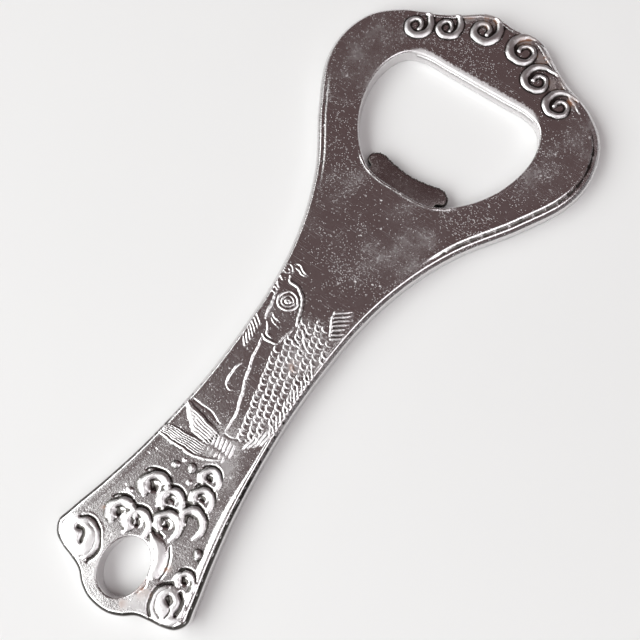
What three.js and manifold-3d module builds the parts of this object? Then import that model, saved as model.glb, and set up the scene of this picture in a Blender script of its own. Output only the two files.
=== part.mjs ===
// Flat cast bottle opener with a hanging hole: a one-piece plated casting whose cap mouth holds a
// separate steel lip, cast in at the handle side of the mouth.
// Millimetres. X runs across the opener, +Y from the hanging hole towards the head, +Z out of the
// decorated face. The origin is at the middle of the opener's length and width, on its flat back.
import * as THREE from 'three';
import { mergeVertices } from 'three/addons/utils/BufferGeometryUtils.js';
import Module from 'manifold-3d';

// ---- Driving dimensions ----
const BORDER_Z = 2.8; // height of the narrow border that runs round the edge
const BORDER_WIDTH = 1.0;
const FACE_Z = 3.2; // height of the plain raised face
const RELIEF_Z = 3.8; // height of scrolls, waves and fish
const FISH_Z = 3.55; // height of the fish's body and tail
const SINK = 1.0; // how far a raised figure is sunk into the plate before they are joined

const OUTLINE_POINTS = 132;
const MOUTH_POINTS = 72;
const HOLE_POINTS = 44;
const FIGURE_POINTS = 48;

const HOLE = { y: -55.2, halfWidth: 4.1, halfLength: 5.2 };

const LIP = {
  bottomZ: 0.9,
  thickness: 1.5,
  rootHalfWidth: 7.0,
  rootEndY: 19.6,
  rootCornerRadius: 1.6,
  gapInPlane: 0.3,
  gapInHeight: 0.2,
};

// Right half of the outline, from the middle of the hanging tab to the middle of the head. The left
// half is its mirror image.
const HALF_OUTLINE = [
  [0, -63.0], [3.6, -62.3], [6.3, -60.3], [9.2, -59.4], [12.2, -58.6], [14.2, -56.8], [13.9, -54.0],
  [12.0, -46.5], [10.2, -38.0], [8.9, -28.5], [8.25, -20.0], [8.2, -11.0], [8.95, 0], [11.1, 10.0],
  [15.2, 20.0], [21.7, 30.0], [26.2, 38.6], [26.9, 45.0], [24.8, 51.2], [20.0, 55.4], [13.4, 58.2],
  [9.6, 60.4], [6.2, 62.6], [3.4, 63.05],
];
const HEAD_MIDDLE = [0, 62.7];

// Right half of the cap mouth, from the lip's side to the prying edge.
const HALF_MOUTH = [
  [0, 24.5], [4.2, 24.6], [7.0, 25.3], [9.9, 27.2], [12.9, 30.5], [15.3, 35.0], [16.5, 40.6],
  [15.9, 45.0], [14.1, 47.9], [11.2, 49.1], [5.6, 49.2],
];
const PRYING_EDGE_MIDDLE = [0, 49.2];

// Right half of the lip's free end. Its working edge is slightly hollow.
const HALF_LIP_TIP = [[7.0, 25.9], [8.25, 26.7], [8.3, 28.0], [6.6, 29.1], [3.6, 28.6]];
const LIP_EDGE_MIDDLE = [0, 28.2];

// Spiral scrolls of the right half: centre, outer radius, the angle in radians where the outer end
// leaves the spiral, and the sense it winds in, 1 for counter-clockwise.
const SCROLL_TURNS = 1.6;
const SCROLL_BAND = 0.85;
const SCROLLS = [
  { x: 3.9, y: 59.2, radius: 2.9, start: 1.15, sense: 1 },
  { x: 9.6, y: 56.1, radius: 2.55, start: 1.0, sense: 1 },
  { x: 15.1, y: 53.4, radius: 2.6, start: 0.95, sense: 1 },
  { x: 9.3, y: -55.3, radius: 3.6, start: -0.9, sense: -1 },
];

// Curling wave crests over the handle: centre and radius.
const WAVES = [
  [3.2, -35.6, 1.9], [4.2, -39.2, 2.0], [-4.2, -42.2, 2.3], [0.3, -42.2, 2.0], [5.0, -43.7, 2.1],
  [1.6, -46.0, 2.0], [-6.2, -48.6, 2.2], [-2.9, -48.3, 1.9], [9.2, -50.6, 1.8],
];
const DROPS = [[-0.6, -35.8, 0.55], [-3.1, -36.8, 0.6], [-7.1, -44.9, 0.45], [9.2, -46.3, 0.6]];
const DROP_Z = 3.5;

// The carp on the handle: body with head, then its forked tail.
const FISH_BODY = [
  [-6.9, 0.9], [-3.9, -0.2], [-1.7, -2.2], [-0.4, -5.0], [3.0, -4.2], [6.6, -7.4], [7.1, -15.0],
  [6.9, -22.0], [5.2, -27.2], [2.0, -28.4], [0.3, -27.4], [0.1, -24.0], [-1.6, -19.5], [-3.3, -15.0],
  [-4.2, -10.9], [-5.7, -7.8], [-6.9, -3.2],
];
const FISH_TAIL = [
  [0.4, -27.6], [-3.5, -27.2], [-7.9, -27.0], [-6.0, -28.6], [-3.6, -30.9], [-5.5, -32.4], [-9.1, -34.2],
  [-5.0, -34.4], [-0.8, -33.9], [2.6, -32.0], [4.6, -29.0], [4.4, -27.4],
];

// ---- Helpers ----
const wasm = await Module();
wasm.setup();

function mirrored(halfPoints, middle) {
  const leftHalf = halfPoints.slice(1).map(([x, y]) => [-x, y]);
  return [...halfPoints, middle, ...leftHalf.reverse()];
}

function closedCurve(points, count) {
  const curve = new THREE.CatmullRomCurve3(
    points.map(([x, y]) => new THREE.Vector3(x, y, 0)), true, 'centripetal',
  );
  return curve.getSpacedPoints(count).slice(0, count).map((p) => new THREE.Vector2(p.x, p.y));
}

// Moves every point of a counter-clockwise loop inwards, square to the loop.
function inset(loop, distance) {
  return loop.map((point, i) => {
    const before = loop[(i + loop.length - 1) % loop.length];
    const after = loop[(i + 1) % loop.length];
    const along = after.clone().sub(before).normalize();
    return new THREE.Vector2(point.x - along.y * distance, point.y + along.x * distance);
  });
}

function ellipse(x, y, halfWidth, halfLength, count) {
  const curve = new THREE.EllipseCurve(x, y, halfWidth, halfLength);
  return curve.getPoints(count).slice(0, count);
}

function spiralBand({ x, y, radius, start, sense }) {
  const steps = Math.round(FIGURE_POINTS / 2);
  const innerRadius = SCROLL_BAND / 2;
  const outside = [];
  const inside = [];
  for (let i = 0; i <= steps; i += 1) {
    const part = i / steps;
    const angle = start + sense * part * SCROLL_TURNS * 2 * Math.PI;
    const middle = radius + (innerRadius - radius) * part;
    const halfBand = (SCROLL_BAND / 2) * (1 - 0.3 * part);
    const direction = new THREE.Vector2(Math.cos(angle), Math.sin(angle));
    outside.push(direction.clone().multiplyScalar(middle + halfBand).add(new THREE.Vector2(x, y)));
    inside.push(direction.clone().multiplyScalar(middle - halfBand).add(new THREE.Vector2(x, y)));
  }
  return [...outside, ...inside.reverse()];
}

function extruded(outline, fromZ, toZ, holes = []) {
  const shape = new THREE.Shape(outline);
  shape.holes = holes.map((hole) => new THREE.Path(hole));
  const geometry = new THREE.ExtrudeGeometry(shape, { depth: toZ - fromZ, bevelEnabled: false });
  return geometry.translate(0, 0, fromZ);
}

function toSolid(geometry) {
  geometry.deleteAttribute('normal');
  geometry.deleteAttribute('uv');
  const merged = mergeVertices(geometry, 1e-4);
  return new wasm.Manifold(new wasm.Mesh({
    numProp: 3,
    vertProperties: new Float32Array(merged.attributes.position.array),
    triVerts: new Uint32Array(merged.index.array),
  }));
}

function toGeometry(solid) {
  const mesh = solid.getMesh();
  const geometry = new THREE.BufferGeometry();
  geometry.setAttribute('position', new THREE.BufferAttribute(new Float32Array(mesh.vertProperties), 3));
  geometry.setIndex(new THREE.BufferAttribute(new Uint32Array(mesh.triVerts), 1));
  geometry.computeVertexNormals();
  return geometry;
}

// ---- Lip ----
// A flat tongue with a root that stays inside the casting. `grow` widens and lengthens the root to
// give the pocket that holds it.
function lipRoot(grow) {
  const halfWidth = LIP.rootHalfWidth + grow;
  const end = LIP.rootEndY - grow;
  const radius = LIP.rootCornerRadius + grow;
  const shape = new THREE.Path();
  shape.absarc(-halfWidth + radius, end + radius, radius, Math.PI, 1.5 * Math.PI, false);
  shape.absarc(halfWidth - radius, end + radius, radius, 1.5 * Math.PI, 2 * Math.PI, false);
  return shape.getPoints(6);
}

function lipOutline() {
  const tip = new THREE.CatmullRomCurve3(
    [...HALF_LIP_TIP, LIP_EDGE_MIDDLE, ...HALF_LIP_TIP.map(([x, y]) => [-x, y]).reverse()]
      .map(([x, y]) => new THREE.Vector3(x, y, 0)),
    false, 'centripetal',
  );
  const tipPoints = tip.getSpacedPoints(FIGURE_POINTS).map((p) => new THREE.Vector2(p.x, p.y));
  return [...lipRoot(0), ...tipPoints];
}

function buildLip() {
  return extruded(lipOutline(), LIP.bottomZ, LIP.bottomZ + LIP.thickness);
}

function lipPocket() {
  const intoMouthY = 29.5;
  const halfWidth = LIP.rootHalfWidth + LIP.gapInPlane;
  const outline = [
    ...lipRoot(LIP.gapInPlane),
    new THREE.Vector2(halfWidth, intoMouthY),
    new THREE.Vector2(-halfWidth, intoMouthY),
  ];
  const fromZ = LIP.bottomZ - LIP.gapInHeight;
  return extruded(outline, fromZ, LIP.bottomZ + LIP.thickness + LIP.gapInHeight);
}

// ---- Body ----
function buildBody() {
  const outline = closedCurve(mirrored(HALF_OUTLINE, HEAD_MIDDLE), OUTLINE_POINTS);
  const face = inset(outline, BORDER_WIDTH);
  const mouth = closedCurve(mirrored(HALF_MOUTH, PRYING_EDGE_MIDDLE), MOUTH_POINTS);
  const hole = ellipse(0, HOLE.y, HOLE.halfWidth, HOLE.halfLength, HOLE_POINTS);

  let body = toSolid(extruded(outline, 0, BORDER_Z));
  const raise = (loop, topZ) => {
    body = body.add(toSolid(extruded(loop, BORDER_Z - SINK, topZ)));
  };
  raise(face, FACE_Z);
  raise(closedCurve(FISH_BODY, FIGURE_POINTS), FISH_Z);
  raise(closedCurve(FISH_TAIL, FIGURE_POINTS), FISH_Z);
  for (const scroll of SCROLLS) {
    const { x, start, sense } = scroll;
    raise(spiralBand(scroll), RELIEF_Z);
    raise(spiralBand({ ...scroll, x: -x, start: Math.PI - start, sense: -sense }), RELIEF_Z);
  }
  for (const [x, y, radius] of WAVES) {
    raise(ellipse(x, y, radius, radius, 18), RELIEF_Z);
  }
  for (const [x, y, radius] of DROPS) {
    raise(ellipse(x, y, radius, radius, 10), DROP_Z);
  }
  body = body.subtract(toSolid(extruded(mouth, -1, RELIEF_Z + 1)));
  body = body.subtract(toSolid(extruded(hole, -1, RELIEF_Z + 1)));
  body = body.subtract(toSolid(lipPocket()));
  return toGeometry(body);
}

// ---- Model ----
const chromeCasting = new THREE.MeshStandardMaterial({ color: 0x9a9698, roughness: 0.16, metalness: 1 });
const steel = new THREE.MeshStandardMaterial({ color: 0x7a7577, roughness: 0.34, metalness: 1 });

const bodyMesh = new THREE.Mesh(buildBody(), chromeCasting);
bodyMesh.name = 'opener_body';
const lipMesh = new THREE.Mesh(buildLip(), steel);
lipMesh.name = 'cap_lip_insert';

const opener = new THREE.Group();
opener.add(bodyMesh, lipMesh);

export default opener;
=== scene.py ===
"""A flat cast bottle opener lying on its back: plated casting with relief, and a steel cap lip."""

import math

import bpy
import numpy as np
from mathutils import Matrix, Vector
from mathutils.geometry import delaunay_2d_cdt
from mathutils.kdtree import KDTree


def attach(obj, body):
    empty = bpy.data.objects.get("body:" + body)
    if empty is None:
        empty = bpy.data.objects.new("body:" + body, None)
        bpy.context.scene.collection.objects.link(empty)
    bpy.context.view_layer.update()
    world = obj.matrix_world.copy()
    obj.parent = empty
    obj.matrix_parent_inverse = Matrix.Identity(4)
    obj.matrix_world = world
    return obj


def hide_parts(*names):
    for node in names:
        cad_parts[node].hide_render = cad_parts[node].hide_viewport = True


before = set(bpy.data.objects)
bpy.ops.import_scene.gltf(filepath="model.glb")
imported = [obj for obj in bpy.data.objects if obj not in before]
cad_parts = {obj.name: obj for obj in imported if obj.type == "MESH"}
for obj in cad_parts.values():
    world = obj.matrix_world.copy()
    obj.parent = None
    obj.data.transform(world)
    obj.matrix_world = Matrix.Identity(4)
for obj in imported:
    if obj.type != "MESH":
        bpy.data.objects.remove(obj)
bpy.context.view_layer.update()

# ---- Sizes, in millimetres, in the part's frame ----
MM = 0.001
FACE_Z = 3.2

# The decorated face's mesh points: from which y to which y, and their spacing. Plain metal needs few.
ZONES = [
    (-64.0, -34.5, 0.2),
    (-34.5, 3.8, 0.142),
    (3.8, 50.0, 0.6),
    (50.0, 64.0, 0.18),
]
FIELD_HALF_WIDTH = 28
EDGE_SPACING = 0.22

# The casting's three loops are its outline, the mouth and the hole. The material lies to the left of the
# outline and to the right of the other two.
SIDES = (1, -1, -1)
# Width and depth of the rounding along each loop, and along the back of all three.
OUTER_ROUND = (0.75, 0.82)
MOUTH_ROUND = (0.45, 0.35)
HOLE_ROUND = (0.3, 0.3)
BACK_ROUND = (0.25, 0.3)
# Beyond the rounding, rows of mesh points follow each loop at these distances.
FURTHER_ROWS = ([0.92, 1.1, 1.32, 1.55, 1.78, 2.0], [0.6, 0.76, 0.92, 1.1, 1.3], [])
EDGE_STEP = 0.1  # the first ring of the side walls lies this far below the edge
WALL_MIDDLE = 1.4
# The slot for the lip in the wall of the mouth.
SLOT = {"half_width": 7.3, "low_y": 20, "high_y": 28, "depth": 1.2, "top": 2.6, "bottom": 0.7, "step": 0.02}

LEDGE = {"inset": 1.55, "blend": 0.22, "drop": 0.3}
BEAD = {"height": 0.07, "half_width": 0.32}
SCROLL_RIM = {"inset": 0.9, "half_width": 0.42, "height": 0.15}
SCROLL_HEIGHT = 0.35
BOSS_HEIGHT = 0.42
BURR = {"inset": 0.42, "half_width": 0.34}
BEVEL_DEPTH = 0.27  # wear of the prying edge
# painted dark reflection along the edges of the handle's end: inset, half width and strength
PAINTED_DARK_EDGE = {"inset": 0.52, "half_width": 0.44, "amount": 0.14}

# A scroll leaves the outline and winds inwards round its eye. These are its distances from the eye
# and its half widths at each quarter turn, for a scroll of size 1.
LEFT_SCROLL = [4.6, 3.85, 2.6, 1.45, 1.3, 1.6, 1.15]
RIGHT_SCROLL = [4.4, 3.15, 2.7, 1.85, 1.5, 1.3, 1.0]
LEFT_SCROLL_WIDTHS = [0.5, 0.55, 0.65, 0.85, 0.85, 0.55, 0.45]
RIGHT_SCROLL_WIDTHS = [0.5, 0.6, 0.75, 0.85, 0.65, 0.5, 0.45]
# x and y of each eye, and the scroll's size
LEFT_SCROLLS = [(-16.0, 53.2, 1.0), (-10.9, 55.8, 0.92), (-4.8, 58.7, 1.08)]
RIGHT_SCROLLS = [(4.2, 59.1, 1.12), (9.3, 55.4, 1.0), (15.1, 53.1, 0.97)]

# The two bosses at the corners of the handle's end: x, y, radius, and the grooves cut in them.
LEFT_BOSS = (-9.1, -55.5, 3.9)
LEFT_BOSS_GROOVES = [
    (0.7, 0.3, [(-10.3, -54.7), (-9.4, -54.6), (-8.9, -55.1), (-8.5, -56.2)]),
    (0.45, 0.2, [
        (-11.2, -53.2), (-10.0, -52.4), (-8.7, -52.2), (-7.3, -52.8),
        (-6.2, -53.9), (-5.4, -55.3), (-5.1, -56.7), (-5.7, -58.2),
    ]),
    (0.22, 0.1, [(-9.3, -53.2), (-7.6, -53.7), (-6.5, -55.2), (-6.2, -56.8), (-7.2, -58.3)]),
]
RIGHT_BOSS = (9.7, -55.6, 3.3)
RIGHT_BOSS_GROOVES = [
    (0.95, 0.5, [(9.3, -54.5), (9.7, -54.8)]),
    (0.3, 0.16, [(9.9, -55.3), (10.7, -56.0), (10.6, -57.2)]),
    (0.55, 0.34, [(10.5, -52.8), (11.5, -53.8), (11.8, -55.8)]),
    (0.45, 0.3, [(8.4, -52.4), (7.2, -53.3), (6.7, -54.6), (6.6, -56.0), (7.2, -57.4), (8.3, -58.6)]),
    (0.25, 0.14, [(8.2, -53.2), (7.6, -54.4), (7.6, -55.9), (8.4, -57.3), (9.8, -57.9)]),
]

# Curling crests of the waves: x and y of the hollow and size.
CURLS = [
    (3.0, -35.5, 0.78), (3.9, -38.9, 0.82), (-4.0, -42.1, 1.1), (-0.2, -42.3, 0.95),
    (4.5, -42.9, 1.02), (1.5, -45.7, 0.98), (-6.0, -48.8, 1.08), (-2.8, -48.4, 1.0),
    (9.7, -51.0, 0.72),
]
# A crest as seen from its hollow: angle, distance, and the widths of its outer and inner slopes, in mm.
CURL_SHAPE = [
    (248, 1.5, 0.7, 0.5), (215, 1.45, 1.25, 0.5), (180, 1.4, 1.2, 0.45), (135, 1.7, 0.6, 0.8),
    (90, 2.2, 0.5, 1.15), (45, 2.5, 0.5, 1.1), (10, 2.65, 0.45, 0.85), (-20, 2.85, 0.35, 0.6),
    (-38, 3.0, 0.2, 0.3),
]
# Drops: x, y and radius.
DROPS = [
    (-2.3, -35.4, 0.35), (-0.4, -35.8, 0.7), (-3.1, -36.9, 0.6), (0.6, -38.0, 0.4),
    (-7.0, -44.9, 0.5), (9.0, -46.3, 0.75),
]
# The thick crest beside the hole: its line, half widths and grooves.
FOAM = [(0.6, -48.3), (2.6, -49.3), (4.2, -51.0), (4.7, -53.2)]
FOAM_WIDTHS = [0.7, 1.3, 1.6, 1.5, 1.2]
FOAM_GROOVES = [
    (0.3, 0.2, [(0.1, -47.6), (1.3, -47.4), (2.4, -47.5)]),
    (0.45, 0.12, [(2.4, -49.9), (3.3, -50.9), (3.8, -51.9)]),
    (0.35, 0.1, [(4.4, -48.2), (5.4, -49.6), (6.1, -51.2), (6.1, -53.0)]),
    (0.3, 0.12, [(4.3, -54.2), (4.7, -55.4), (4.4, -57.0)]),
]

# Lines of the carp: half width, height and the points each line runs through.
CARP_LINES = [
    # top of the head, down to the first scales
    (0.46, 0.3, [
        (-6.6, 0.9), (-5.8, -0.1), (-4.2, -0.2), (-2.7, -1.0), (-1.7, -2.4), (-1.1, -4.1), (-0.2, -6.0),
    ]),
    # snout and barbels
    (0.28, 0.2, [(-6.9, 3.2), (-6.0, 3.3), (-5.0, 2.8), (-4.0, 2.5)]),
    (0.24, 0.16, [(-6.8, 2.4), (-5.8, 2.5), (-4.9, 2.2), (-3.8, 2.3)]),
    (0.22, 0.14, [(-8.3, 2.3), (-7.6, 2.5), (-6.9, 2.0), (-6.4, 1.2)]),
    (0.2, 0.12, [(-8.3, 1.3), (-7.7, 1.7), (-7.1, 1.3), (-7.5, 0.8), (-8.1, 1.0)]),
    # mouth
    (0.24, 0.16, [(-8.6, 0.1), (-7.9, -0.2), (-7.1, -0.6)]),
    (0.28, 0.2, [(-8.2, -0.9), (-7.6, -1.5), (-6.9, -2.1)]),
    (0.22, 0.14, [(-8.1, -2.4), (-7.4, -2.2), (-6.9, -2.6)]),
    (0.2, 0.12, [(-7.9, -3.2), (-7.3, -3.1), (-6.9, -3.3)]),
    # throat
    (0.28, 0.2, [(-7.0, -2.6), (-6.5, -4.5), (-6.1, -6.4), (-5.6, -8.0)]),
    # cheek and gill cover
    (0.22, 0.14, [(-5.2, -6.3), (-4.5, -6.8), (-3.0, -6.9)]),
    (0.2, 0.12, [(-4.9, -7.2), (-3.9, -7.6), (-2.5, -7.8)]),
    (0.32, 0.2, [(-5.1, -8.2), (-4.3, -9.0), (-3.7, -9.9), (-2.6, -10.2)]),
    (0.36, 0.24, [(-4.4, -10.3), (-3.6, -10.8), (-2.2, -10.7), (-1.2, -10.3)]),
    (0.24, 0.12, [(-0.4, -6.2), (-0.8, -8.2), (-1.2, -10.2)]),
    # belly
    (0.27, 0.2, [
        (-4.1, -10.9), (-3.6, -13.4), (-3.1, -15.4), (-2.2, -18.0),
        (-1.0, -21.0), (0.0, -23.6), (0.4, -26.0), (0.4, -27.5),
    ]),
    # pelvic fin
    (0.22, 0.16, [
        (-4.0, -15.8), (-4.6, -17.2), (-4.8, -18.8), (-4.6, -20.3),
        (-4.2, -21.1), (-3.2, -21.4), (-2.3, -20.9),
    ]),
    # front edge of the dorsal fin
    (0.42, 0.2, [(3.8, 0.2), (4.1, -1.2), (4.8, -2.7), (5.6, -4.1)]),
    # coarse marks where the scales begin
    (0.3, 0.16, [(0.9, -4.9), (1.6, -5.5), (2.6, -5.9)]),
    (0.34, 0.2, [(1.0, -5.8), (1.9, -6.6), (3.0, -7.2)]),
    (0.34, 0.2, [(1.9, -6.9), (2.9, -7.8), (3.7, -8.3)]),
    (0.26, 0.14, [(0.2, -6.2), (0.9, -7.0), (1.7, -7.3)]),
    (0.26, 0.16, [(-0.1, -8.1), (1.0, -8.5), (2.4, -8.8), (3.5, -8.9)]),
    (0.24, 0.14, [(0.9, -7.6), (1.6, -8.1), (2.6, -8.4)]),
    (0.2, 0.12, [(2.0, -4.0), (2.7, -3.6), (3.3, -3.9)]),
    (0.2, 0.12, [(3.4, -4.9), (4.3, -5.6), (5.4, -5.9)]),
    # last ray of the lower tail lobe
    (0.42, 0.24, [(-9.6, -34.3), (-5.0, -34.2), (-1.4, -33.9), (1.0, -33.0), (2.6, -31.9)]),
]
TAIL_SEAM = [
    (-7.4, -26.5), (-5.0, -26.4), (-3.0, -26.6), (-1.2, -27.3), (0.0, -27.9), (2.0, -28.0), (4.2, -27.0),
]
CARP_EYE = (-4.2, -3.1)
CARP_EYE_RINGS = [(0.3, 0.3, 0.13), (1.0, 0.2, 0.08), (1.7, 0.24, 0.12)]  # radius, half width, height
SCALED_AREA = [
    (0.3, -3.9), (3.2, -3.2), (5.8, -4.6), (7.0, -7.0), (7.1, -15.0), (6.9, -21.0), (5.6, -25.5),
    (4.2, -27.2), (1.6, -27.2), (1.2, -23.0), (0.2, -19.0), (-0.9, -16.0), (-0.9, -10.6), (-0.2, -7.0),
]
FIRST_SCALE = (-2.8, -3.6)
SCALE_ROWS, SCALE_COLUMNS = 25, 8
SCALE_PITCH = (1.4, 0.98)
SCALE_DRIFT = 0.25  # how far each row of scales lies to the right of the one above
SCALE_EDGE = [(-0.5, 0.66), (-0.32, 0.16), (-0.04, -0.1), (0.28, -0.16), (0.62, -0.1)]
UPPER_TAIL = [(-0.4, -28.5), (-3.5, -27.7), (-8.6, -27.1), (-7.4, -28.6), (-3.8, -31.1), (-1.8, -31.3)]
DORSAL_FIN = [(3.6, 0.4), (6.4, 2.2), (7.4, 0.0), (7.7, -3.6), (6.0, -5.2), (4.6, -3.0)]
LOWER_TAIL = [(1.5, -31.0), (-3.4, -31.0), (-9.6, -33.0), (-9.9, -34.5), (-3.5, -34.4), (1.0, -33.2)]


# ---- Plan curves ----
def smooth_curve(points, spacing, closed):
    """Even points along a smooth curve through the given points."""
    p = np.array(points, float)
    if closed:
        before, after, beyond = np.roll(p, 1, 0), np.roll(p, -1, 0), np.roll(p, -2, 0)
        start = p
    else:
        ends = np.vstack([2 * p[0] - p[1], p, 2 * p[-1] - p[-2]])
        before, start, after, beyond = ends[:-3], ends[1:-2], ends[2:-1], ends[3:]
    spans = ((before, start), (start, after), (after, beyond))
    step = [np.sqrt(np.linalg.norm(b - a, axis=1)).reshape(-1, 1) for a, b in spans]
    leave = (start - before) / step[0] - (after - before) / (step[0] + step[1]) + (after - start) / step[1]
    arrive = (after - start) / step[1] - (beyond - start) / (step[1] + step[2]) + (beyond - after) / step[2]
    leave, arrive = leave * step[1], arrive * step[1]
    t = np.linspace(0, 1, 40, endpoint=False).reshape(1, -1, 1)
    a, b, m, n = (v[:, None, :] for v in (start, after, leave, arrive))
    dense = (2 * t**3 - 3 * t**2 + 1) * a + (t**3 - 2 * t**2 + t) * m
    dense = (dense + (3 * t**2 - 2 * t**3) * b + (t**3 - t**2) * n).reshape(-1, 2)
    dense = np.vstack([dense, dense[:1] if closed else p[-1:]])
    run = np.concatenate([[0], np.cumsum(np.linalg.norm(np.diff(dense, axis=0), axis=1))])
    count = max(2, round(run[-1] / spacing))
    where = np.linspace(0, run[-1], count + 1)
    even = np.stack([np.interp(where, run, dense[:, k]) for k in (0, 1)], axis=1)
    return even[:-1] if closed else even


def back_loops(node):
    """The loops round a CAD node's flat back, counter-clockwise, longest first, in millimetres."""
    mesh = node.data
    at = [tuple(round(c / MM, 3) for c in v.co) for v in mesh.vertices]
    edges = set()
    for face in mesh.polygons:
        corners = [at[i] for i in face.vertices]
        if max(c[2] for c in corners) > 0:
            continue
        for a, b in zip(corners, corners[1:] + corners[:1]):
            if (b[:2], a[:2]) in edges:
                edges.remove((b[:2], a[:2]))
            else:
                edges.add((a[:2], b[:2]))
    following = dict(edges)
    loops = []
    while following:
        first = min(following, key=lambda c: (c[1], c[0]))
        loop, here = [first], following.pop(first)
        while here != first:
            loop.append(here)
            here = following.pop(here)
        loop = np.array(loop)
        x, y = loop.T
        clockwise = np.sum(x * np.roll(y, -1) - y * np.roll(x, -1)) < 0
        loops.append(loop[::-1] if clockwise else loop)
    return sorted(loops, key=len, reverse=True)


def loop_normals(loop):
    """Unit normals that point to the left of a loop's direction."""
    along = np.roll(loop, -1, 0) - np.roll(loop, 1, 0)
    along /= np.linalg.norm(along, axis=1).reshape(-1, 1)
    return np.stack([-along[:, 1], along[:, 0]], axis=1)


def nearest(loop, points):
    """For each point, its distance from the loop and the number of the loop's nearest point."""
    tree = KDTree(len(loop))
    for i, (x, y) in enumerate(loop.tolist()):
        tree.insert((x, y, 0), i)
    tree.balance()
    found = [tree.find((x, y, 0)) for x, y in points.tolist()]
    return np.array([f[2] for f in found]), np.array([f[1] for f in found])


def smoothstep(low, high, value):
    """A smooth step from 0 at low to 1 at high."""
    t = np.clip((value - low) / (high - low), 0, 1)
    return t * t * (3 - 2 * t)


def inside(polygon, x, y):
    """Which points lie inside a polygon."""
    result = np.zeros(len(x), bool)
    for (ax, ay), (bx, by) in zip(polygon, np.roll(polygon, -1, 0)):
        crosses = (ay > y) != (by > y)
        result ^= crosses & (x < (bx - ax) * (y - ay) / (by - ay + 1e-12) + ax)
    return result


# ---- Relief ----
PATH_STEP = 0.08


class Relief:
    """Heights of raised figures over the plain face, at a set of points."""

    def __init__(self, points):
        x, y = points.T
        # hand-cut lines waver a little
        self.x = x + 0.06 * np.sin(1.9 * y + 0.7 * x) + 0.02 * np.sin(4.1 * y - 1.3 * x)
        self.y = y + 0.06 * np.sin(1.7 * x - 0.9 * y) + 0.02 * np.sin(3.7 * x + 1.1 * y)
        self.height = np.zeros(len(points))

    def near(self, path, reach):
        """The numbers of the points in a box round a path."""
        low, high = path.min(0) - reach, path.max(0) + reach
        return np.nonzero(
            (self.x > low[0]) & (self.x < high[0]) & (self.y > low[1]) & (self.y < high[1])
        )[0]

    def follow(self, path, which):
        """Distance from a path, and how far along it, from 0 to 1, the nearest point lies."""
        dx = self.x[which, None] - path[None, :, 0]
        dy = self.y[which, None] - path[None, :, 1]
        square = dx * dx + dy * dy
        best = square.argmin(1)
        return np.sqrt(square[np.arange(len(which)), best]), best / max(1, len(path) - 1)

    def lift(self, which, height):
        """Raises points to a height, where they aren't higher already."""
        self.height[which] = np.maximum(self.height[which], height)

    def ridge(self, points, half_width, height, ends=(0.35, 0.35), smooth=True, uneven=0.0):
        """A rounded ridge along a curve. `ends` are the shares of its width left at its two ends.

        `half_width` is one number, or several that follow one another along the curve.
        """
        path = smooth_curve(points, PATH_STEP, False) if smooth else np.array(points)
        widths = np.atleast_1d(half_width)
        which = self.near(path, widths.max())
        if not len(which):
            return
        distance, part = self.follow(path, which)
        half_width = np.interp(part, np.linspace(0, 1, len(widths)), widths)
        share = 1 - (1 - ends[0]) * (1 - part) ** 4 - (1 - ends[1]) * part**4
        run = part * PATH_STEP * len(path)
        start_x, start_y = path[0]
        share *= 1 - uneven * (0.5 + 0.5 * np.sin(4.7 * run + start_x) * np.sin(2.3 * run + start_y))
        across = np.clip(distance / (half_width * share), 0, 1)
        self.lift(which, height * np.sqrt(share) * (1 - across**2) ** 1.3)

    def groove(self, points, half_width, depth):
        """A rounded groove along a curve."""
        path = smooth_curve(points, PATH_STEP, False)
        which = self.near(path, half_width)
        distance, _ = self.follow(path, which)
        across = np.clip(distance / half_width, 0, 1)
        self.height[which] -= depth * (1 - across**2) ** 1.5

    def scroll(self, x, y, size, quarters, widths, sign):
        """A ridge that winds inwards round an eye, from the right with sign 1, from the left with -1."""
        eighth = np.arange(1.2, 2 * len(quarters) - 1)
        r = size * np.interp(eighth / 2, range(len(quarters)), quarters)
        angle = eighth * math.pi / 4
        points = np.stack([x + sign * r * np.cos(angle), y + r * np.sin(angle)], axis=1)
        half_width = size * np.interp(eighth / 2, range(len(widths)), widths)
        self.ridge(points, half_width, SCROLL_HEIGHT, ends=(0.7, 0.8))

    def boss(self, x, y, radius, grooves):
        """A raised disc with a steep edge, cut by grooves."""
        which = self.near(np.array([(x, y)]), radius)
        across = np.hypot(self.x[which] - x, self.y[which] - y) / radius
        self.lift(which, BOSS_HEIGHT * (1 - np.clip(across, 0, 1) ** 3.4))
        for half_width, depth, points in grooves:
            self.groove(points, half_width, depth)

    def curl(self, x, y, size):
        """A curling crest round a hollow: a thick ball at the lower left that thins out over the top."""
        shape = np.array(CURL_SHAPE)[::-1]
        degrees = np.linspace(shape[-1, 0], shape[0, 0], 110)
        r, outer, inner = (size * np.interp(degrees, shape[:, 0], shape[:, k]) for k in (1, 2, 3))
        angle = np.radians(degrees)
        path = np.stack([x + r * np.cos(angle), y + r * np.sin(angle)], axis=1)
        which = self.near(path, 1.4 * size)
        distance, part = self.follow(path, which)
        at = np.round(part * (len(path) - 1)).astype(int)
        along = np.gradient(path, axis=0)[at]
        off = np.stack([self.x[which], self.y[which]], axis=1) - path[at]
        outside = along[:, 0] * off[:, 1] - along[:, 1] * off[:, 0] > 0
        across = np.clip(distance / np.where(outside, outer[at], inner[at]), 0, 1)
        rise = np.interp(part, (0.0, 0.12, 0.7, 1.0), (0.55, 1.0, 0.8, 0.25))
        height = 0.5 * size
        self.lift(which, height * rise * (1 - across**2) ** 1.2)
        self.dome(x - 1.2 * size, y - 0.75 * size, 1.25 * size, height)
        hollow = [(x - 0.25 * size, y - 0.1 * size), (x + 0.35 * size, y + 0.1 * size)]
        self.groove(hollow, 0.85 * size, 0.3)
        # fine groove beyond the top
        angle = np.radians(np.linspace(150, 40, 8))
        r = 2.9 * size
        self.groove(np.stack([x + r * np.cos(angle), y + r * np.sin(angle)], axis=1), 0.3, 0.12)

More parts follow.
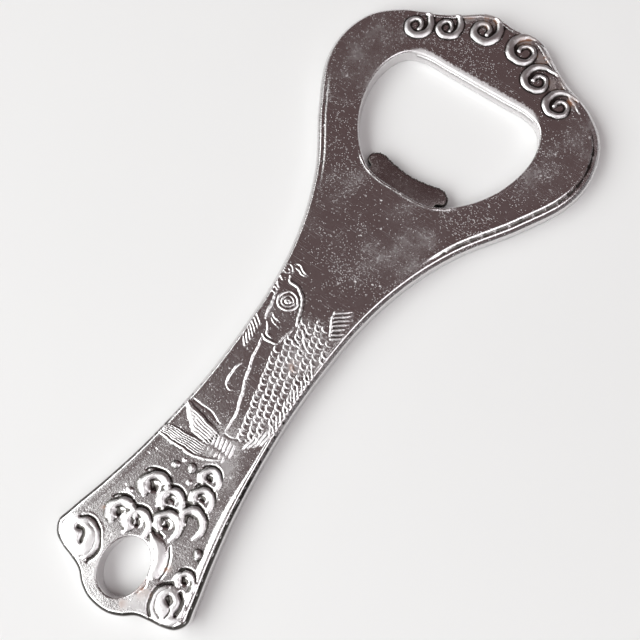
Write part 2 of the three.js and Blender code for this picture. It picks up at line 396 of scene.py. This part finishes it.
    def dome(self, x, y, radius, height):
        """A rounded drop."""
        which = self.near(np.array([(x, y)]), radius)
        across = np.hypot(self.x[which] - x, self.y[which] - y) / radius
        self.lift(which, height * (1 - np.clip(across, 0, 1) ** 2))

    def leaf(self, outline, low_y, high_y, height):
        """A raised leaf that rises from low_y to high_y inside an outline, with soft edges."""
        loop = smooth_curve(outline, 0.12, True)
        which = self.near(loop, 0.3)
        within = inside(loop, self.x[which], self.y[which])
        which = which[within]
        distance, _ = self.follow(loop, which)
        rise = 0.25 + 0.75 * np.clip((self.y[which] - low_y) / (high_y - low_y), 0, 1)
        self.lift(which, height * rise * smoothstep(0, 0.6, distance))

    def scales(self):
        """Rows of scales, each with a raised free edge towards the tail and a dip behind it."""
        area = np.array(SCALED_AREA)
        for row in range(SCALE_ROWS):
            for column in range(SCALE_COLUMNS):
                cx = FIRST_SCALE[0] + SCALE_PITCH[0] * column + SCALE_DRIFT * row
                cx += 0.08 * math.sin(row * 1.7 + column)
                cy = FIRST_SCALE[1] - SCALE_PITCH[1] * row + 0.25 * math.sin(2.1 * column)
                cy += 0.06 * math.sin(row + 2.3 * column)
                if not inside(area, np.array([cx]), np.array([cy]))[0]:
                    continue
                bold = 0.8 + 0.35 * math.sin(1.9 * row + 3.1 * column)
                edge = [(cx + dx, cy + dy) for dx, dy in SCALE_EDGE]
                self.ridge(edge, 0.24, 0.15 * bold, ends=(0.5, 0.5))


def fan(relief, count, lines, half_width, heights, **look):
    """Rays side by side. Each line runs from one point of the first ray to that of the last ray."""
    for part in np.linspace(0, 1, count):
        ray = [tuple(np.array(first) * (1 - part) + np.array(last) * part) for first, last in lines]
        relief.ridge(ray, half_width, heights[0] + (heights[-1] - heights[0]) * part, **look)


def add_carp(relief):
    for half_width, height, points in CARP_LINES:
        relief.ridge(points, half_width, 0.9 * height, uneven=0.35)
    x, y = CARP_EYE
    for radius, half_width, height in CARP_EYE_RINGS:
        angle = np.linspace(0, 2 * math.pi, 90)
        path = np.stack([x + radius * 1.04 * np.cos(angle), y + radius * np.sin(angle)], axis=1)
        relief.ridge(path, half_width, height, ends=(1, 1), smooth=False)
    relief.scales()
    relief.leaf(UPPER_TAIL, -31.4, -27.0, 0.3)
    relief.leaf(LOWER_TAIL, -34.4, -31.0, 0.05)
    relief.leaf(DORSAL_FIN, -4.6, 2.0, 0.06)
    relief.groove(TAIL_SEAM, 0.28, 0.07)
    # dorsal fin
    lines = [((4.0, -0.2), (6.0, -4.4)), ((6.5, 1.8), (7.6, -3.1))]
    fan(relief, 7, lines, 0.22, [0.2], ends=(0.9, 0.15))
    # pectoral fin
    lines = [((-7.5, -7.9), (-7.0, -12.5)), ((-5.6, -9.4), (-5.5, -13.9))]
    fan(relief, 7, lines, 0.24, [0.14], uneven=0.4)
    # the two lobes of the tail
    lines = [((0.2, -28.8), (-0.6, -30.9)), ((-8.0, -27.5), (-4.4, -30.7))]
    fan(relief, 6, lines, 0.21, [0.38, 0.2])
    lines = [((-0.8, -31.4), (-0.6, -33.3)), ((-4.4, -31.8), (-4.5, -33.6)), ((-8.4, -32.3), (-9.2, -33.9))]
    fan(relief, 6, lines, 0.21, [0.26, 0.18])
    for k in range(13):
        # strokes along the back
        y = -9.6 - 1.08 * k
        reach = 1.0 - 0.03 * k
        relief.ridge([(5.5 + 0.07 * k, y), (6.9, y - 1.5 * reach), (7.8, y - 2.6 * reach)], 0.2, 0.13)
    for k in range(4):
        # doubled lines where the back runs into the tail
        x, drop = 7.1 - 0.68 * k, 0.7 * k
        relief.ridge([(x, -22.4 - drop), (x - 0.05, -24.6 - drop), (x - 0.35, -26.2 - drop)], 0.2, 0.14)
    for k in range(6):
        # short rays on the tail's root
        x = -0.7 + 0.78 * k
        relief.ridge([(x, -28.5), (x + 0.35, -29.6), (x + 0.6, -30.7)], 0.22, 0.14)
        relief.ridge([(x - 0.4, -31.0), (x - 0.15, -31.6), (x - 0.1, -32.2)], 0.18, 0.1)


def add_waves(relief):
    for x, y, size in CURLS:
        relief.curl(x, y, size)
    for x, y, radius in DROPS:
        relief.dome(x, y, radius, 0.6 * radius)
    relief.ridge(FOAM, FOAM_WIDTHS, 0.32, ends=(0.5, 0.8))
    for half_width, depth, points in FOAM_GROOVES:
        relief.groove(points, half_width, depth)


def add_scrolls(relief):
    # rounded rim beside the right-hand scrolls
    relief.ridge([(4.6, 61.9), (6.6, 61.2), (8.6, 59.9), (11.2, 58.5)], 0.5, 0.2, uneven=0.4)
    relief.ridge([(12.4, 57.7), (14.4, 56.5), (16.6, 55.2), (18.8, 54.0)], 0.5, 0.2, uneven=0.4)
    for x, y, size in LEFT_SCROLLS:
        relief.scroll(x, y, size, LEFT_SCROLL, LEFT_SCROLL_WIDTHS, -1)
    for x, y, size in RIGHT_SCROLLS:
        relief.scroll(x, y, size, RIGHT_SCROLL, RIGHT_SCROLL_WIDTHS, 1)
    relief.boss(*LEFT_BOSS, LEFT_BOSS_GROOVES)
    relief.boss(*RIGHT_BOSS, RIGHT_BOSS_GROOVES)


def rim_height(x, y, to_outline):
    """Height of the beads and hollows that follow the outline, over the plain face."""
    upper_end = np.where(x > 0, 52.0, 37.0)
    on_head = smoothstep(14, 22, y) * (1 - smoothstep(upper_end - 4, upper_end + 3, y))
    on_head *= np.where(x > 0, 1.0, 0.4)
    inset, blend = LEDGE["inset"], LEDGE["blend"]
    ledge = -LEDGE["drop"] * smoothstep(inset + blend, inset - blend, to_outline)
    crease = bead(to_outline, inset + 0.3, BEAD["half_width"], BEAD["height"])
    on_handle = (1 - smoothstep(0, 14, y)) * np.where(x > 0, 1.0, 0.2)
    dish = smoothstep(-28, -42, y)
    half_width, height = BEAD["half_width"] + 0.75 * dish, BEAD["height"] + 0.22 * dish
    rim = bead(to_outline, 1.0 + 0.15 * dish, half_width, height)
    rim *= 1 - smoothstep(-56, -58, y)
    # a thin rim joins the left-hand scrolls
    scroll_rim = bead(to_outline, **SCROLL_RIM) * smoothstep(52, 55, y)
    scroll_rim *= smoothstep(-18, -16, x) * smoothstep(2, 0, x)
    return on_head * (ledge + crease) + on_handle * rim + scroll_rim


def bead(distance, inset, half_width, height=1.0):
    """A rounded bead that runs along an edge at a distance from it."""
    across = np.clip(np.abs(distance - inset) / half_width, 0, 1)
    return height * (1 - across**2) ** 1.5


def worn_edge(distance, width, depth):
    """How far the outer edge falls below the face: a sloping flat that turns over at the outline."""
    part = 1 - np.clip(distance / width, 0, 1)
    slope = 0.8 * depth * part
    turn = 1 - np.sqrt(np.clip(1 - np.clip((part - 0.66) / 0.34, 0, 1) ** 2, 0, 1))
    return slope + 0.2 * depth * turn


def round_off(distance, width, depth):
    """How far a rounded edge falls below the face at a distance from the edge."""
    part = 1 - np.clip(distance / width, 0, 1)
    return depth * (1 - np.sqrt(np.clip(1 - part**2, 0, 1)))


# ---- Mesh of the casting ----
THIN_GAP = 0.09  # mesh points of the face are no closer than about this


def face_points(loops):
    """Points of the decorated face: rows that follow the loops, and a field of even points."""
    rounds = (OUTER_ROUND[0], MOUTH_ROUND[0], HOLE_ROUND[0])
    rows = []
    for loop, side, width, further in zip(loops, SIDES, rounds, FURTHER_ROWS):
        normals = loop_normals(loop) * side
        turns = [(1 - math.cos(math.radians(a))) * width for a in (22, 42, 60, 76, 90)]
        for distance in turns + further:
            row = loop + normals * distance
            gap = nearest(loop, row)[0]
            rows.append(row[gap > distance - 0.02])
    field = []
    for low, high, spacing in ZONES:
        ys = np.arange(low, high, spacing * math.sqrt(0.75))
        xs = np.arange(-FIELD_HALF_WIDTH, FIELD_HALF_WIDTH, spacing)
        x, y = np.meshgrid(xs, ys)
        x = x + 0.5 * spacing * (np.arange(len(ys)) % 2)[:, None]
        field.append(np.stack([x.ravel(), y.ravel(), np.full(x.size, spacing)], axis=1))
    field = np.vstack(field)
    keep = np.ones(len(field), bool)
    for loop, side, width, further in zip(loops, SIDES, rounds, FURTHER_ROWS):
        gap, at = nearest(loop, field[:, :2])
        offset = field[:, :2] - loop[at]
        within = np.sum(offset * loop_normals(loop)[at], axis=1) * side > 0
        reach = further[-1] if further else width
        # where the field is wide, it starts beyond the last row
        wide = field[:, 2] > 0.3
        keep &= within & (gap > np.where(wide, reach + 0.3, width + THIN_GAP))
    return np.vstack(rows), field[keep][:, :2]


def triangulate(loops, others):
    """Triangles between the loops. Gives the points, the triangles and each loop's point numbers."""
    points = np.vstack([*loops, others]) if len(others) else np.vstack(loops)
    edges, start = [], 0
    for loop in loops:
        ids = list(range(start, start + len(loop)))
        edges += list(zip(ids, ids[1:] + ids[:1]))
        start += len(loop)
    verts, _, faces, origins, _, _ = delaunay_2d_cdt(
        [Vector(p) for p in points.tolist()], edges, [], 0, 1e-5, True
    )
    number = {}
    for new, olds in enumerate(origins):
        for old in olds:
            number[old] = new
    rings, start = [], 0
    for loop in loops:
        rings.append([number[i] for i in range(start, start + len(loop))])
        start += len(loop)
    verts, faces = np.array([tuple(v) for v in verts]), np.array(faces)
    # only a triangle whose three corners are on the loops can lie outside them
    on_loop = np.zeros(len(verts), bool)
    on_loop[np.concatenate(rings)] = True
    doubtful = np.nonzero(on_loop[faces].all(axis=1))[0]
    x, y = verts[faces[doubtful]].mean(axis=1).T
    material = inside(loops[0], x, y)
    for hole in loops[1:]:
        material &= ~inside(hole, x, y)
    faces = np.delete(faces, doubtful[~material], axis=0)
    return verts, faces.tolist(), rings


def thin_out(points):
    """Drops the points that crowd each other."""
    cell = np.floor(points / THIN_GAP).astype(int)
    _, first = np.unique(cell, axis=0, return_index=True)
    return points[np.sort(first)]


def top_height(points, loops):
    """For each point of the decorated face: height, how dull it is, a painted dark reflection along the
    handle's end, and distance from an edge.
    """
    gaps = [nearest(loop, points)[0] for loop in loops]
    relief = Relief(points)
    add_carp(relief)
    add_waves(relief)
    add_scrolls(relief)
    z = FACE_Z + rim_height(points[:, 0], points[:, 1], gaps[0])
    # slightly broken lines that die away at the very edge
    x, y = points.T
    broken = 0.95 + 0.05 * np.sin(1.3 * x + 0.8 * y) * np.sin(1.1 * y - 0.9 * x)
    z += relief.height * broken * smoothstep(-0.1, 0.55, gaps[0])
    z -= worn_edge(gaps[0], *OUTER_ROUND)
    z -= round_off(gaps[1], *MOUTH_ROUND)
    # a burr stands round the mouth, highest beside the lip
    beside_lip = smoothstep(30, 28, y) * smoothstep(10.5, 9, np.abs(x))
    burr = 0.03 + 0.09 * beside_lip * (0.85 + 0.15 * np.sin(2.7 * x))
    z += bead(gaps[1], **BURR) * burr * smoothstep(46, 44, y)
    z -= round_off(gaps[2], *HOLE_ROUND)
    # the prying edge is worn to a wide, uneven bevel
    prying_edge = smoothstep(0, 3, 14.5 - np.abs(x)) * (y > 45)
    wear_width = 1.15 + 0.15 * np.sin(2.1 * x) * np.sin(5.3 * x + 1.0)
    wear_width += 0.12 * np.sin(11.0 * x) * np.sin(1.3 * x)
    bevel = prying_edge * np.clip(1 - gaps[1] / wear_width, 0, 1)
    z -= BEVEL_DEPTH * bevel
    # the casting is slightly uneven
    z += 0.012 * np.sin(0.9 * x + 0.4 * y) * np.sin(0.5 * y - 0.7 * x + 1.0)
    edge = smoothstep(OUTER_ROUND[0], 0.5 * OUTER_ROUND[0], gaps[0])
    dull = np.maximum(np.clip(5 * bevel, 0, 1.8), 0.1 * edge)
    dull = np.maximum(np.clip(relief.height / 0.2, 0, 1), dull)
    # a painted dark reflection lies along the edges of the handle's end
    painted_dark_edge = PAINTED_DARK_EDGE["amount"] * bead(gaps[0], PAINTED_DARK_EDGE["inset"], PAINTED_DARK_EDGE["half_width"]) * smoothstep(-10, -54, y)
    return z, dull, painted_dark_edge, np.minimum(gaps[0], np.minimum(gaps[1], gaps[2]))


def hollows(points, faces, z):
    """How deep each point lies below the mean of the surface around it."""
    faces = np.array(faces)
    pairs = np.vstack([faces[:, [0, 1]], faces[:, [1, 2]], faces[:, [2, 0]]])
    pairs = np.vstack([pairs, pairs[:, ::-1]])
    degree = np.bincount(pairs[:, 0], minlength=len(points))
    mean = z.copy()
    for _ in range(14):
        total = np.bincount(pairs[:, 0], weights=mean[pairs[:, 1]], minlength=len(points))
        mean = 0.5 * mean + 0.5 * total / np.maximum(degree, 1)
    return mean - z


def casting():
    """Corners, polygons and two values of the whole casting, its painted shade and its dullness: face,
    walls and flat back.
    """
    plan = [smooth_curve(loop, EDGE_SPACING, True) for loop in back_loops(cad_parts["opener_body"])]
    points, faces, rings = triangulate(plan, thin_out(np.vstack(face_points(plan))))
    z, dull, painted_dark_edge, to_edge = top_height(points, plan)
    # painted shade in the hollows, plus the painted dark reflection along the handle's end
    hollow = hollows(points, faces, z) * smoothstep(0.2, 0.7, to_edge) + painted_dark_edge
    verts = [tuple(p) + (h,) for p, h in zip(points.tolist(), z.tolist())]
    polygons = [tuple(face) for face in faces]
    depth, dull = list(hollow), list(dull)
    width, height = BACK_ROUND
    back_rings, back_plan = [], []
    for loop, side, ring in zip(plan, SIDES, rings):
        normals = loop_normals(loop) * side
        x, y = loop.T
        at_slot = (np.abs(x) < SLOT["half_width"]) & (y < SLOT["high_y"]) & (y > SLOT["low_y"]) & (side < 0)
        pocket = SLOT["depth"] * at_slot
        # each ring of the wall: how far in it lies, its height, and whether it follows the slot
        levels = [(0.0, FACE_Z, 0)]
        if at_slot.any():
            levels += [(0.0, SLOT["top"] + SLOT["step"], 0), (0.0, SLOT["top"], 1)]
            levels += [(0.0, SLOT["bottom"], 1), (0.0, SLOT["bottom"] - SLOT["step"], 0)]
        else:
            levels += [(0.0, WALL_MIDDLE, 0)]
        levels += [(0.0, height, 0), (0.3 * width, 0.3 * height, 0), (width, 0.0, 0)]
        above = ring
        for inset, level, deep in levels:
            row = loop + normals * (inset + deep * pocket)[:, None]
            here = list(range(len(verts), len(verts) + len(row)))
            for (px, py), limit in zip(row.tolist(), z[ring].tolist()):
                verts.append((px, py, min(level, limit - EDGE_STEP)))
                depth.append(0.0)
                dull.append(0.5)
            for i in range(len(row)):
                j = (i + 1) % len(row)
                quad = (above[i], here[i], here[j], above[j])
                polygons.append(quad if side > 0 else quad[::-1])
            above = here
        back_rings.append(above)
        back_plan.append(loop + normals * width)
    _, back_faces, found = triangulate(back_plan, np.empty((0, 2)))
    number = {}
    for ring, ids in zip(back_rings, found):
        number.update(zip(ids, ring))
    polygons += [tuple(number[i] for i in reversed(face)) for face in back_faces]
    return verts, polygons, depth, dull


def add_mesh(name, verts, polygons):
    """A smooth-shaded object from corners in millimetres."""
    mesh = bpy.data.meshes.new(name)
    mesh.from_pydata([(x * MM, y * MM, z * MM) for x, y, z in verts], [], polygons)
    mesh.validate()
    mesh.update()
    mesh.shade_smooth()
    obj = bpy.data.objects.new(name, mesh)
    bpy.context.scene.collection.objects.link(obj)
    return obj


# ---- Lip ----
LIP_TOP, LIP_BOTTOM = 2.4, 0.9
# Rings of the lip from bottom to top: inset and height.
LIP_RINGS = [
    (0.34, LIP_BOTTOM), (0.12, LIP_BOTTOM + 0.08), (0.0, LIP_BOTTOM + 0.4), (0.0, LIP_TOP - 0.4),
    (0.1, LIP_TOP - 0.14), (0.22, LIP_TOP - 0.04), (0.4, LIP_TOP),
]
LIP_SPACING = 0.12
# The outline of the lip: a smooth curve round its tip, and the corners of its root inside the body.
LIP_TIP = [
    (-7.0, 25.9), (-8.25, 26.7), (-8.3, 28.0), (-6.6, 29.1), (-3.6, 28.6), (0.0, 28.2),
    (3.6, 28.6), (6.6, 29.1), (8.3, 28.0), (8.25, 26.7), (7.0, 25.9),
]
LIP_ROOT = [(7.0, 21.2), (5.4, 19.6), (-5.4, 19.6), (-7.0, 21.2)]


def lip():
    """Corners and polygons of the lip, and which corners get painted shade: all but those of its flat top.
    """
    tip = smooth_curve(LIP_TIP, LIP_SPACING, False)
    # the sheared edge is ragged
    run = np.arange(len(tip)) * LIP_SPACING
    ragged = 0.1 * np.sin(7.3 * run) * np.sin(2.9 * run + 0.8) + 0.05 * np.sin(17.0 * run)
    tip[:, 1] += ragged * smoothstep(27.5, 28.2, tip[:, 1])
    loop = np.vstack([tip, LIP_ROOT])[::-1]
    x, y = loop.T
    if np.sum(x * np.roll(y, -1) - y * np.roll(x, -1)) < 0:
        loop = loop[::-1]
    normals = loop_normals(loop)
    for _ in range(6):
        normals = (np.roll(normals, 1, 0) + normals + np.roll(normals, -1, 0)) / 3
    verts, polygons, rings, painted_side_shade = [], [], [], []
    for inset, level in LIP_RINGS:
        # painted shade on the lip's sides, below its flat top
        painted_side_shade += [0.0 if level == LIP_TOP else 1.0] * len(loop)
        row = loop + normals * inset
        rings.append(list(range(len(verts), len(verts) + len(row))))
        verts += [(px, py, level) for px, py in row.tolist()]
    for below, above in zip(rings, rings[1:]):
        for i in range(len(loop)):
            j = (i + 1) % len(loop)
            polygons.append((below[i], below[j], above[j], above[i]))
    _, faces, found = triangulate([loop + normals * LIP_RINGS[-1][0]], np.empty((0, 2)))
    for ring, facing in ((rings[-1], 1), (rings[0], -1)):
        number = dict(zip(found[0], ring))
        polygons += [tuple(number[i] for i in face[::facing]) for face in faces]
    return verts, polygons, painted_side_shade


# ---- Materials ----
def node(tree, kind, **inputs):
    """A node whose inputs are set to numbers or linked to sockets."""
    made = tree.nodes.new(kind)
    for name, value in inputs.items():
        socket = made.inputs[name.replace("_", " ")]
        if isinstance(value, bpy.types.NodeSocket):
            tree.links.new(value, socket)
        else:
            socket.default_value = value
    return made


def ramp(tree, value, low, high, to_low=0.0, to_high=1.0):
    """A smooth step from low to high."""
    made = node(tree, "ShaderNodeMapRange", Value=value)
    made.interpolation_type = "SMOOTHSTEP"
    for name, number in (("From Min", low), ("From Max", high), ("To Min", to_low), ("To Max", to_high)):
        made.inputs[name].default_value = number
    return made.outputs["Result"]


def math_node(tree, operation, a, b):
    made = tree.nodes.new("ShaderNodeMath")
    made.operation = operation
    for socket, value in zip(made.inputs, (a, b)):
        if isinstance(value, bpy.types.NodeSocket):
            tree.links.new(value, socket)
        else:
            socket.default_value = value
    return made.outputs[0]


def mix_colour(tree, factor, a, b):
    made = tree.nodes.new("ShaderNodeMix")
    made.data_type = "RGBA"
    colours = [s for s in made.inputs if s.type == "RGBA"]
    tree.links.new(factor, made.inputs[0])
    for socket, value in zip(colours, (a, b)):
        if isinstance(value, bpy.types.NodeSocket):
            tree.links.new(value, socket)
        else:
            socket.default_value = value
    return next(s for s in made.outputs if s.type == "RGBA")


def noise(tree, place, scale, detail=3.0, roughness=0.5):
    made = node(tree, "ShaderNodeTexNoise", Vector=place, Scale=scale, Detail=detail, Roughness=roughness)
    return made.outputs[0]


def scratches(tree, place, angle, amount):
    """Fine scratches that run along one direction."""
    stretch = (240.0, 9000.0, 240.0)
    turned = node(tree, "ShaderNodeMapping", Vector=place, Rotation=(0, 0, angle), Scale=stretch)
    return ramp(tree, noise(tree, turned.outputs[0], 1.0, 2.0, 0.5), 1 - amount, 1 - amount + 0.05)


def attribute(tree, name):
    """A value kept on the mesh's points."""
    made = tree.nodes.new("ShaderNodeAttribute")
    made.attribute_name = name
    return made.outputs["Fac"]


PLATING = {"base": (0.78, 0.76, 0.765, 1), "roughness": 0.15, "tarnished": True}
LIP_STEEL = {"base": (0.44, 0.39, 0.39, 1), "roughness": 0.2, "tarnished": False}
# painted shade: the near-black mixed in where the 'hollow' value is high
PAINTED_SHADE_COLOUR = (0.045, 0.04, 0.034, 1)
TARNISH_COLOUR = (0.27, 0.125, 0.07, 1)
PAPER_COLOURS = ((0.855, 0.857, 0.853, 1), (0.895, 0.897, 0.893, 1))


def plated_metal(name, base, roughness, tarnished):
    """Bright metal that is hazed, pitted and scratched, with painted shade in its hollows and brown
    tarnish.
    """
    material = bpy.data.materials.new(name)
    material.use_nodes = True
    tree = material.node_tree
    shader = tree.nodes["Principled BSDF"]
    place = tree.nodes.new("ShaderNodeTexCoord").outputs["Object"]
    cloud = noise(tree, place, 60.0, 5.0, 0.6)
    haze = ramp(tree, cloud, 0.47, 0.78)
    grain = noise(tree, place, 3300.0, 2.0, 0.6)
    frost = ramp(tree, noise(tree, place, 7000.0, 1.0, 0.5), 0.42, 0.7)
    # specks: small dots, more of them where a cloud is dense
    dots = node(tree, "ShaderNodeTexVoronoi", Vector=place, Scale=4600.0)
    chance = node(tree, "ShaderNodeSeparateColor", Color=dots.outputs["Color"]).outputs[0]
    density = ramp(tree, noise(tree, place, 120.0, 4.0, 0.65), 0.42, 0.72, 0.05, 0.42)
    chosen = math_node(tree, "LESS_THAN", chance, density)
    speck = math_node(tree, "MULTIPLY", ramp(tree, dots.outputs["Distance"], 0.4, 0.22), chosen)
    pits = node(tree, "ShaderNodeTexVoronoi", Vector=place, Scale=950.0).outputs["Distance"]
    pick = noise(tree, place, 520.0, 3.0, 0.7)
    pit = math_node(tree, "MULTIPLY", ramp(tree, pits, 0.3, 0.0), ramp(tree, pick, 0.52, 0.66))
    long_marks, cross_marks = scratches(tree, place, 0.5, 0.33), scratches(tree, place, -0.9, 0.32)
    marks = math_node(tree, "MAXIMUM", long_marks, cross_marks)
    rough = math_node(tree, "ADD", roughness, math_node(tree, "MULTIPLY", haze, 0.23))
    for layer, share in ((frost, 0.08), (pit, 0.35), (speck, 0.52), (marks, 0.15)):
        rough = math_node(tree, "ADD", rough, math_node(tree, "MULTIPLY", layer, share))
    hazed = tuple(c * 0.93 for c in base[:3]) + (1,)
    colour = mix_colour(tree, haze, base, hazed)
    fine = node(tree, "ShaderNodeBump", Height=grain, Strength=0.5, Distance=0.00005)
    dent = math_node(tree, "ADD", pit, math_node(tree, "MULTIPLY", speck, 0.5))
    bump = node(tree, "ShaderNodeBump", Height=dent, Strength=0.9, Distance=0.00006, Normal=fine.outputs[0])
    bump.invert = True
    # painted shade: darkens the hollows, the lip's sides and a band along the handle's end
    painted_shade = math_node(tree, "MULTIPLY", ramp(tree, attribute(tree, "hollow"), 0.15, 0.65), 0.95)
    colour = mix_colour(tree, painted_shade, colour, PAINTED_SHADE_COLOUR)
    shader.inputs["Metallic"].default_value = 1.0
    if tarnished:
        patchy = ramp(tree, noise(tree, place, 700.0, 3.0, 0.6), 0.35, 0.6)
        rust = math_node(tree, "MULTIPLY", attribute(tree, "tarnish"), patchy)
        colour = mix_colour(tree, rust, colour, TARNISH_COLOUR)
        rough = math_node(tree, "ADD", rough, math_node(tree, "MULTIPLY", rust, 0.3))
        # tarnish is an oxide, so it shines less like metal
        metallic = math_node(tree, "SUBTRACT", 1.0, math_node(tree, "MULTIPLY", rust, 0.6))
        tree.links.new(metallic, shader.inputs["Metallic"])
    rough = math_node(tree, "ADD", rough, math_node(tree, "MULTIPLY", attribute(tree, "dull"), 0.2))
    tree.links.new(colour, shader.inputs["Base Color"])
    tree.links.new(rough, shader.inputs["Roughness"])
    tree.links.new(bump.outputs["Normal"], shader.inputs["Normal"])
    return material


def floor_material():
    material = bpy.data.materials.new("pale_paper")
    material.use_nodes = True
    tree = material.node_tree
    shader = tree.nodes["Principled BSDF"]
    place = tree.nodes.new("ShaderNodeTexCoord").outputs["Object"]
    soft = noise(tree, place, 9.0, 3.0)
    colour = mix_colour(tree, soft, *PAPER_COLOURS)
    tree.links.new(colour, shader.inputs["Base Color"])
    shader.inputs["Roughness"].default_value = 0.9
    shader.inputs["Specular IOR Level"].default_value = 0.2
    return material


# ---- Pieces ----
# Where the plating is tarnished brown: x, y and radius.
TARNISH_SPOTS = [
    (-5.0, 61.3, 2.0), (3.0, 61.8, 2.2), (7.6, 59.6, 1.6), (12.2, 56.9, 1.8), (16.2, 55.0, 1.5),
    (-8.3, 60.0, 1.2), (3.2, -60.0, 1.3), (4.6, -56.0, 1.9), (6.3, -51.0, 0.9), (3.6, -12.0, 1.3),
    (-9.0, -50.0, 0.6),
]
TARNISH_ABOVE = 2.0
DEEPEST_HOLLOW = 0.09


def add_values(obj, name, values):
    """Keeps one value for each point of a mesh, for its material to read."""
    kept = obj.data.attributes.new(name, "FLOAT", "POINT")
    kept.data.foreach_set("value", values.astype(np.float32))


def add_casting(material):
    """The plated casting, which replaces the CAD body."""
    verts, polygons, depth, dull = casting()
    obj = add_mesh("plated_casting_body", verts, polygons)
    obj.data.materials.append(material)
    # the painted shade, from 0 to 1: hollows and the dark band along the handle's end
    depth = np.clip(np.array(depth) / DEEPEST_HOLLOW, 0, 1)
    corner = np.array(verts)
    stain = np.zeros(len(corner))
    for x, y, radius in TARNISH_SPOTS:
        gap = np.hypot(corner[:, 0] - x, corner[:, 1] - y) / radius
        stain = np.maximum(stain, np.clip(1.2 - gap, 0, 1))
    stain *= np.clip(0.5 + 1.2 * depth, 0, 1) * (corner[:, 2] > TARNISH_ABOVE)
    add_values(obj, "hollow", depth)
    add_values(obj, "tarnish", stain)
    add_values(obj, "dull", np.array(dull))
    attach(obj, "root")
    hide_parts("opener_body")


def add_lip(material):
    """The steel lip, which replaces the CAD insert."""
    verts, polygons, painted_side_shade = lip()
    obj = add_mesh("cap_lip", verts, polygons)
    obj.data.materials.append(material)
    # painted shade on the lip's sides
    add_values(obj, "hollow", np.array(painted_side_shade))
    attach(obj, "root")
    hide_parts("cap_lip_insert")


# ---- Stage, light and camera, in metres ----
FLOOR_HALF = 1.5
FLOOR_BELOW = 0.00002
ROOM_TOWARDS = (-0.643, -0.766, 0.0)  # the level direction beyond the handle
ROOM_COLOURS = ((0.109, 0.073, 0.072, 1), (0.62, 0.62, 0.61, 1))  # dim overhead, pale beyond the handle
LOW_COLOURS = ((0.16, 0.155, 0.16, 1), (0.085, 0.084, 0.076, 1))  # near the horizon, behind and beyond
CAMERA_PLACE = (0.0330, -0.0202, 0.1371)
CAMERA_AXIS = (0.2895, 0.2672, 0.9191)
CAMERA_TURN = 0.6628
WINDOW = {"place": (-0.494, -0.588, 0.64), "size": (1.6, 0.74), "watts": 11.6, "colour": (0.98, 1.0, 0.995)}
FILL = {"place": (0.45, -0.05, 0.85), "size": (0.7, 0.7), "watts": 3.0, "colour": (0.98, 0.98, 1.0)}


def add_floor():
    mesh = bpy.data.meshes.new("floor")
    corners = [(-1, -1), (1, -1), (1, 1), (-1, 1)]
    mesh.from_pydata([(x * FLOOR_HALF, y * FLOOR_HALF, 0) for x, y in corners], [], [(0, 1, 2, 3)])
    obj = bpy.data.objects.new("floor", mesh)
    obj.data.materials.append(floor_material())
    bpy.context.scene.collection.objects.link(obj)
    obj.location.z = -FLOOR_BELOW


def add_panel(name, place, size, watts, colour):
    """A flat light that faces the object."""
    light = bpy.data.lights.new(name, "AREA")
    light.shape = "RECTANGLE"
    light.size, light.size_y = size
    light.energy = watts
    light.color = colour
    obj = bpy.data.objects.new(name, light)
    obj.location = place
    obj.rotation_euler = (-Vector(place)).to_track_quat("-Z", "Y").to_euler()
    bpy.context.scene.collection.objects.link(obj)


def add_world():
    """A room that is dim overhead and behind the head, pale beyond the handle and grey near the horizon."""
    world = bpy.data.worlds.new("studio")
    bpy.context.scene.world = world
    world.use_nodes = True
    tree = world.node_tree
    background = tree.nodes["Background"]
    way = tree.nodes.new("ShaderNodeTexCoord").outputs["Generated"]
    up = node(tree, "ShaderNodeSeparateXYZ", Vector=way).outputs["Z"]
    towards = tree.nodes.new("ShaderNodeVectorMath")
    towards.operation = "DOT_PRODUCT"
    tree.links.new(way, towards.inputs[0])
    towards.inputs[1].default_value = ROOM_TOWARDS
    side = towards.outputs["Value"]
    colour = mix_colour(tree, ramp(tree, side, 0.2, 0.46), *ROOM_COLOURS)
    low = mix_colour(tree, ramp(tree, side, 0.1, 0.4), *LOW_COLOURS)
    colour = mix_colour(tree, ramp(tree, up, 0.36, 0.24), colour, low)
    tree.links.new(colour, background.inputs["Color"])
    background.inputs["Strength"].default_value = 1.0


def add_camera():
    camera = bpy.data.cameras.new("camera")
    camera.lens = 45.0
    camera.sensor_width = 36.0
    camera.sensor_fit = "HORIZONTAL"
    camera.clip_start = 0.01
    obj = bpy.data.objects.new("camera", camera)
    bpy.context.scene.collection.objects.link(obj)
    turn = Matrix.Rotation(CAMERA_TURN, 4, Vector(CAMERA_AXIS))
    obj.matrix_world = Matrix.Translation(CAMERA_PLACE) @ turn
    bpy.context.scene.camera = obj


add_camera()
add_floor()
add_world()
add_panel("window", **WINDOW)
add_panel("fill", **FILL)
add_casting(plated_metal("plating", **PLATING))
add_lip(plated_metal("lip_steel", **LIP_STEEL))
bpy.context.scene.view_settings.view_transform = "Standard"
